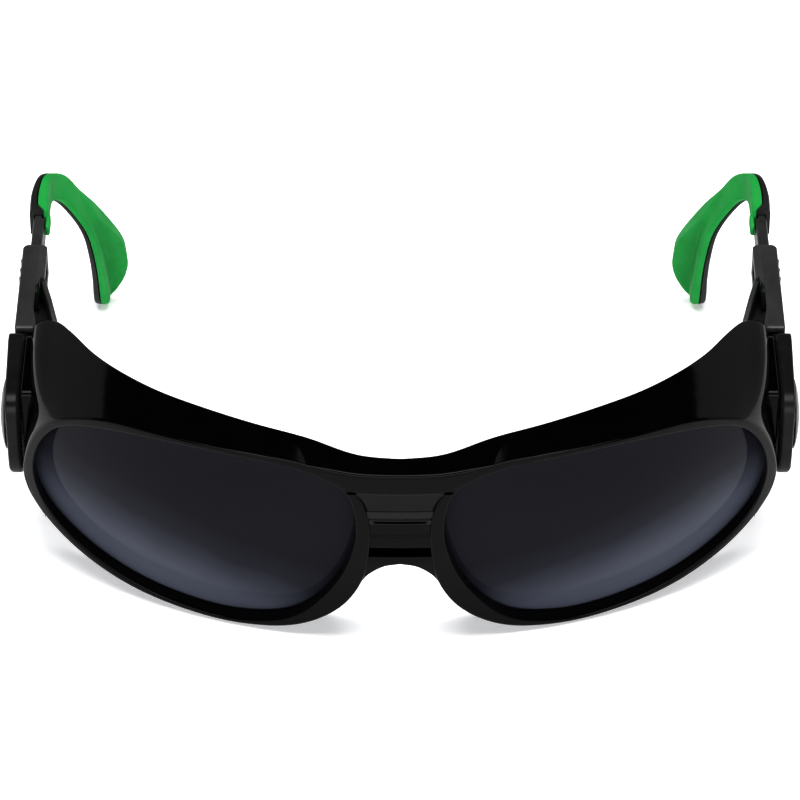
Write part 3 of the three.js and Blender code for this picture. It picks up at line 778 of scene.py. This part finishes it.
finished(front_frame(), "frame", "frame_plastic", FRAME_BLACK, "front_frame")

for name, side in SIDES:
    piece = polished(make_object(f"lens_{name}_body", lens(), side), 40)
    finished(piece, "frame", "lens_tint", LENS, f"lens_{name}")

# ---- tilt hinge --------------------------------------------------------------------------


def carrier_lean(v, w):
    """The carrier's outer face toes in to the front and leans in below the pivot."""
    rear = TOE_IN * CARRIER_REAR
    toed = TOE_IN * v
    heights = [CARRIER_BOTTOM, -5.5, -2, 9, TEMPLE_TOP]
    leaned = np.interp(w, heights, [-1.15, rear - 0.5, rear, rear, rear - 0.1])
    return np.minimum(toed, leaned)


def temple_piece(shape, side):
    """A shape given in the temple's own frame, as an object."""
    return make_object("part", (tilted(shape[0]), shape[1]), side)


def carrier(side):
    corners = [
        (CARRIER_REAR, TEMPLE_TOP, 1.5, 8), (CARRIER_FRONT, TEMPLE_TOP, 5, 20),
        (CARRIER_FRONT, CARRIER_BOTTOM, 9, 20), (CARRIER_REAR, CARRIER_BOTTOM, 3, 10),
    ]
    blank = plate(corners, CARRIER_IN, CARRIER_OUT, 0.45, lean=carrier_lean, inner_edge=1.1)
    body = temple_piece(blank, side)
    web = KNUCKLE_ROOM - FIT_GAP
    blanks = []
    for low, high in KNUCKLES:
        blanks.append(block(CARRIER_IN + 0.02, web, CARRIER_REAR - 4, FOLD_V, low, high))
        blanks.append(block(
            FOLD_U, web - 0.02, FOLD_V - KNUCKLE_RADIUS + 0.02, FOLD_V + 0.7, low + 0.01, high - 0.01
        ))
        blanks.append(post(KNUCKLE_RADIUS, FOLD_U, FOLD_V, low, high, 64, 0.25))
    union(body, *(temple_piece(blank, side) for blank in blanks))
    tools = [post(PIN_RADIUS + 0.1, FOLD_U, FOLD_V, -20, 20)]
    for radius, low, high in (
        (SCREW_RADIUS + FIT_GAP, 70, 90),
        (WASHER_RADIUS + FIT_GAP, 70, CARRIER_IN + WASHER_THICK + FIT_GAP),
        (BORE_RADIUS, CAP_FLOOR - 0.5, 90),
        (CAP_RADIUS + FIT_GAP, CAP_SEAT - FIT_GAP, 91),
    ):
        tools.append(turned([(0, low), (radius, low), (radius, high), (0, high)]))
    cut(body, *(temple_piece(tool, side) for tool in tools))
    return polished(body, 32)


def pivot_cap(side):
    dome = []
    for t in np.linspace(0, 1, 40):
        radius = 2 * t * (1 - t) * 4.6 + t**2 * CAP_RADIUS
        u = (1 - t**2) * CAP_CROWN + t**2 * (CAP_SEAT + 0.35)
        ring = 0.14 * math.exp(-(((radius - 4.1) / 0.28) ** 2))
        dip = 0.22 * float(smooth(1.5, 0, radius))
        dome.append((radius, u - ring - dip))
    skirt = BORE_RADIUS - FIT_GAP
    profile = [
        *dome, (CAP_RADIUS, CAP_SEAT + 0.12), (CAP_RADIUS - 0.12, CAP_SEAT), (skirt, CAP_SEAT),
        (skirt, CAP_FLOOR), (skirt - 1.3, CAP_FLOOR), (skirt - 1.3, CAP_SEAT), (0, CAP_SEAT),
    ]
    return polished(temple_piece(turned(profile, sides=144), side), 40)


for name, side in SIDES:
    piece = carrier(side)
    piece.name = f"hinge_carrier_{name}_body"
    finished(piece, f"hinge_{name}", "frame_plastic", HINGE_BLACK, f"hinge_carrier_{name}")
    piece = pivot_cap(side)
    piece.name = f"pivot_cap_{name}_body"
    finished(piece, f"hinge_{name}", "frame_plastic", HINGE_BLACK, f"pivot_cap_{name}")
    for part in ("pivot_screw", "detent_washer", "fold_pin"):
        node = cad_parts[f"{part}_{name}"]
        node.data.materials.clear()
        node.data.materials.append(STEEL)

# ---- temples -----------------------------------------------------------------------------

def sleeve(side):
    corners = [(v, w, 0.5, 4) for v, w in SLEEVE_SIDE]
    body = temple_piece(plate(corners, SLEEVE_IN, SLEEVE_OUT, 0.4), side)
    low, high = MID_KNUCKLE
    roof = 10.8
    web = STRUT_FRONT + 1.9
    pocket = [(60, 10), (74.6, 10), (76.1, 20), (76.1, 27), (75.2, 30.5), (60, 30.5)]
    inner_bevel = [(SLEEVE_IN - 1, 13), (SLEEVE_IN + 1.5, 13), (SLEEVE_IN + 1.5, 12), (SLEEVE_IN - 1, 10.4)]
    rear_bevel = [
        (SLEEVE_OUT + 1, SLEEVE_REAR - 2.6), (SLEEVE_OUT + 1, SLEEVE_REAR + 1),
        (SLEEVE_OUT - 1.3, SLEEVE_REAR + 1), (SLEEVE_OUT - 1.3, SLEEVE_REAR),
    ]
    cut(body, *(temple_piece(tool, side) for tool in (
        block(ARM_IN - FIT_GAP, ARM_OUT + FIT_GAP, web, 60, ARM_LOW - FIT_GAP, ARM_HIGH + FIT_GAP),
        block(60, KNUCKLE_ROOM, 10, STRUT_FRONT, -20, roof),
        prism(pocket, -20, 20, 2),
        block(60, ARM_IN, 31.8, 38.6, 6.2, 9.6),
        prism(inner_bevel, 12, 60, 1),
        prism(rear_bevel, -20, 20, 2),
    )))
    strut = temple_piece(
        prism([(75.6, 32), (74.5, 32), (71, STRUT_FRONT), (72.2, STRUT_FRONT)], low, roof - 0.4, 2), side
    )
    side_view = [(10, low), (40, low), (40, 11.8), (31, 11.6), (18, 9), (10, 9)]
    intersected(strut, temple_piece(prism(side_view, 60, 90, 0), side))
    bevelled(strut, 0.3, 3)
    blanks = [
        block(71, SLEEVE_OUT - 0.4, STRUT_FRONT, web, low, high),
        block(FOLD_U - 1.6, FOLD_U + KNUCKLE_RADIUS, FOLD_V, 19, low + 0.01, high - 0.01),
        post(KNUCKLE_RADIUS, FOLD_U, FOLD_V, low, high, 64, 0.25),
        prism([(71.4, STRUT_FRONT), (77, STRUT_FRONT), (77, 31), (75, 31)], 3.3, 4.3, 2),
    ]
    for v in GRIP_RIBS:
        blanks.append(post(0.5, SLEEVE_OUT - 0.1, v, 5.5, 10.5, 24, 0.3))
    union(body, strut, *(temple_piece(blank, side) for blank in blanks))
    cut(body, temple_piece(post(PIN_RADIUS + 0.2, FOLD_U, FOLD_V, -20, 20), side))
    return polished(body, 32)


def arm(side):
    corners = [
        (ARM_FRONT, ARM_LOW, 0.8, 6), (ARM_REAR, ARM_LOW, 0.8, 6),
        (ARM_REAR, ARM_HIGH, 0.8, 6), (ARM_FRONT, ARM_HIGH, 0.8, 6),
    ]
    body = temple_piece(plate(corners, ARM_IN, ARM_OUT, 0.4), side)
    cut(body, *(temple_piece(tool, side) for tool in (
        block(60, ARM_IN + 0.7, 28.7, 43.3, 6.7, 9.3),
        block(60, TAIL_IN, TAIL_FROM, 70, 0, 20),
        block(TAIL_OUT, 90, TAIL_FROM, 70, 0, 20),
    )))
    return polished(body, 32)


def arm_inlay(side):
    corners = [(29, 7, 0.9, 8), (43, 7, 0.9, 8), (43, 9, 0.9, 8), (29, 9, 0.9, 8)]
    return polished(temple_piece(plate(corners, ARM_IN, ARM_IN + 0.4, 0.15, count=160), side), 45)


for name, side in SIDES:
    piece = sleeve(side)
    piece.name = f"temple_sleeve_{name}_body"
    finished(piece, f"temple_{name}", "temple_plastic", TEMPLE_BLACK, f"temple_sleeve_{name}")
    piece = arm(side)
    piece.name = f"temple_arm_{name}_body"
    finished(piece, f"ear_{name}", "temple_plastic", TEMPLE_BLACK, f"temple_arm_{name}")
    piece = arm_inlay(side)
    piece.name = f"arm_inlay_{name}_body"
    finished(piece, f"ear_{name}", "soft_green", GREEN, f"arm_inlay_{name}")

# ---- ear pieces --------------------------------------------------------------------------

EAR_STEPS = 180


def ear_tracks():
    t = np.linspace(0, 1, EAR_STEPS + 1)
    track = curve_at(EAR_STATIONS, t)
    return t, blurred(track, 3.5, closed=False)


def ear_loft(section):
    """A body along the ear blade. section(t) gives (across, through, extra) corners."""
    t, track = ear_tracks()
    rings = []
    for share, (low_y, low_z, high_y, high_z, out, inn) in zip(t, track):
        a, b, extra = np.array(section(share)).T
        rings.append(np.column_stack([
            mix(out, inn, b) - extra, mix(low_y, high_y, a), mix(low_z, high_z, a),
        ]))
    return loft(rings)


def arm_socket(side):
    blank = block(TAIL_IN - FIT_GAP, TAIL_OUT + FIT_GAP, 40, ARM_REAR + FIT_GAP,
                  ARM_LOW - FIT_GAP, ARM_HIGH + FIT_GAP)
    return temple_piece(blank, side)


def step_at(t):
    """How much further inboard the shell reaches at its front end, in shares of the thickness."""
    return 0.34 * (1 - float(np.clip(t / 0.035, 0, 1)))


def ear_shell(side):
    def section(t):
        share = SHELL_SHARE + step_at(t)
        corners = [(0, 0, 0.16, 9), (1, 0, 0.16, 9), (1, share, 0.02, 2), (0, share, 0.02, 2)]
        return [(a, b, 0) for a, b in rounded(corners)]

    body = make_object("shell", ear_loft(section), side)
    cut(body, arm_socket(side))
    return polished(body, 35)


def leaf_rise(t, across):
    """Height of the raised leaf on the inboard face of the pad."""
    nose = float(smooth(0.4, 0.56, t))
    length = (0.3 * nose + 0.7 * smooth(0.53, 0.69, t)) * (1 - smooth(0.76, 0.96, t))
    ridge = np.interp(t, [0.42, 0.54, 0.68, 0.87], [0.72, 0.34, 0.52, 0.76])
    crown = smooth(ridge, ridge + 0.17, across) * (1 - 0.4 * smooth(0.9, 1, across))
    return LEAF_HEIGHT * length * crown


def ear_pad(side):
    def section(t):
        share = PAD_SHARE + step_at(t)
        outline = evenly(rounded([
            (0, share, 0.03, 3), (1, share, 0.03, 3), (1, 1, 0.17, 10), (0, 1, 0.17, 10),
        ]), 140)
        rise = leaf_rise(t, outline[:, 0]) * smooth(0.8, 1, outline[:, 1])
        return np.column_stack([outline, rise])

    body = make_object("pad", ear_loft(section), side)
    cut(body, arm_socket(side))
    corners = [(49, 8, 0.9, 8), (53.5, 8, 0.9, 8), (53.5, 10.6, 0.9, 8), (49, 10.6, 0.9, 8)]
    tongue = plate(corners, 74.6, ARM_IN - FIT_GAP, 0.3, count=120)
    union(body, temple_piece(tongue, side))
    return polished(body, 40)


for name, side in SIDES:
    piece = ear_shell(side)
    piece.name = f"ear_shell_{name}_body"
    finished(piece, f"ear_{name}", "temple_plastic", SHELL_BLACK, f"ear_shell_{name}")
    piece = ear_pad(side)
    piece.name = f"ear_pad_{name}_body"
    finished(piece, f"ear_{name}", "soft_green", GREEN, f"ear_pad_{name}")

# ---- camera ------------------------------------------------------------------------------

AIM = Vector((0, -0.02039, 0.03201))
CAMERA_DISTANCE = 0.9
CAMERA_ELEVATION = math.radians(35)

camera_data = bpy.data.cameras.new("camera")
camera = bpy.data.objects.new("camera", camera_data)
bpy.context.scene.collection.objects.link(camera)
back = Vector((0, -math.cos(CAMERA_ELEVATION), math.sin(CAMERA_ELEVATION)))
camera.location = AIM + CAMERA_DISTANCE * back
camera.rotation_euler = (math.pi / 2 - CAMERA_ELEVATION, 0, 0)
camera_data.sensor_width = 36
camera_data.lens = 198.3
camera_data.clip_start = 0.01
camera_data.clip_end = 50
bpy.context.scene.camera = camera

# ---- floor, sky and lamps ----------------------------------------------------------------

FLOOR_HALF = 1.6


def floor():
    mesh = bpy.data.meshes.new("floor")
    s = FLOOR_HALF
    mesh.from_pydata([(-s, -s, 0), (s, -s, 0), (s, s, 0), (-s, s, 0)], [], [(0, 1, 2, 3)])
    obj = bpy.data.objects.new("floor", mesh)
    bpy.context.scene.collection.objects.link(obj)
    n = Nodes("floor")
    tint = n.ramp(n.noise(3, 3), [(0.3, (0.9, 0.9, 0.9)), (0.7, (0.93, 0.93, 0.93))])
    n.link(tint, n.shader.inputs["Base Color"])
    n.shader.inputs["Roughness"].default_value = 0.9
    n.shader.inputs["Specular IOR Level"].default_value = 0.1
    n.shader.inputs["Emission Color"].default_value = (1, 1, 1, 1)
    n.shader.inputs["Emission Strength"].default_value = 0.3
    obj.data.materials.append(n.material)
    return obj


def sky():
    """White below the horizon, a wall all round that is brightest in front, and above about 28
    degrees a black ceiling."""
    world = bpy.data.worlds.new("studio")
    bpy.context.scene.world = world
    world.use_nodes = True
    tree = world.node_tree
    place = tree.nodes.new("ShaderNodeTexCoord")
    split = tree.nodes.new("ShaderNodeSeparateXYZ")
    tree.links.new(place.outputs["Generated"], split.inputs["Vector"])

    def banded(source, bounds, stops):
        """Colours at positions along one direction, mapped from bounds to 0 and 1."""
        fit = tree.nodes.new("ShaderNodeMapRange")
        fit.inputs["From Min"].default_value, fit.inputs["From Max"].default_value = bounds
        ramp = tree.nodes.new("ShaderNodeValToRGB")
        elements = ramp.color_ramp.elements
        while len(elements) < len(stops):
            elements.new(0.5)
        for element, (at, colour) in zip(elements, stops):
            element.position = (at - bounds[0]) / (bounds[1] - bounds[0])
            element.color = (*colour, 1)
        tree.links.new(source, fit.inputs["Value"])
        tree.links.new(fit.outputs["Result"], ramp.inputs["Fac"])
        return ramp.outputs["Color"]

    wall = banded(split.outputs["Y"], (-1, 1), [
        (-0.85, (6.2, 6.25, 6.5)), (-0.72, (1.8, 1.8, 1.9)), (-0.6, (0.9, 0.9, 0.9)),
        (0.0, (0.7, 0.7, 0.7)),
    ])
    height = banded(split.outputs["Z"], (-1, 1), [(0.47, (1, 1, 1)), (0.485, (0, 0, 0))])
    below = banded(split.outputs["Z"], (-1, 1), [(-0.02, (1, 1, 1)), (0.0, (0, 0, 0))])
    lit = tree.nodes.new("ShaderNodeVectorMath")
    lit.operation = "MULTIPLY"
    for socket, colour in zip(lit.inputs, (wall, height)):
        tree.links.new(colour, socket)
    upper = tree.nodes["Background"]
    tree.links.new(lit.outputs["Vector"], upper.inputs["Color"])
    lower = tree.nodes.new("ShaderNodeBackground")
    lower.inputs["Color"].default_value = (1.1, 1.1, 1.1, 1)
    whole = tree.nodes.new("ShaderNodeMixShader")
    for socket, source in zip(whole.inputs, (below, upper.outputs[0], lower.outputs[0])):
        tree.links.new(source, socket)
    tree.links.new(whole.outputs["Shader"], tree.nodes["World Output"].inputs["Surface"])


def lamp(name, location, size, power, aim=(0, -0.015, 0.02)):
    data = bpy.data.lights.new(name, "AREA")
    data.shape = "RECTANGLE"
    data.size, data.size_y = size
    data.energy = power
    obj = bpy.data.objects.new(name, data)
    bpy.context.scene.collection.objects.link(obj)
    obj.location = location
    obj.rotation_euler = (Vector(location) - Vector(aim)).to_track_quat("Z", "Y").to_euler()
    return obj


floor()
sky()
lamp("top", (0, -0.215, 2.2), (1.8, 1.4), 76)

view = bpy.context.scene.view_settings
view.view_transform = "Standard"
view.look = "None"
view.exposure = 0
view.gamma = 0.78
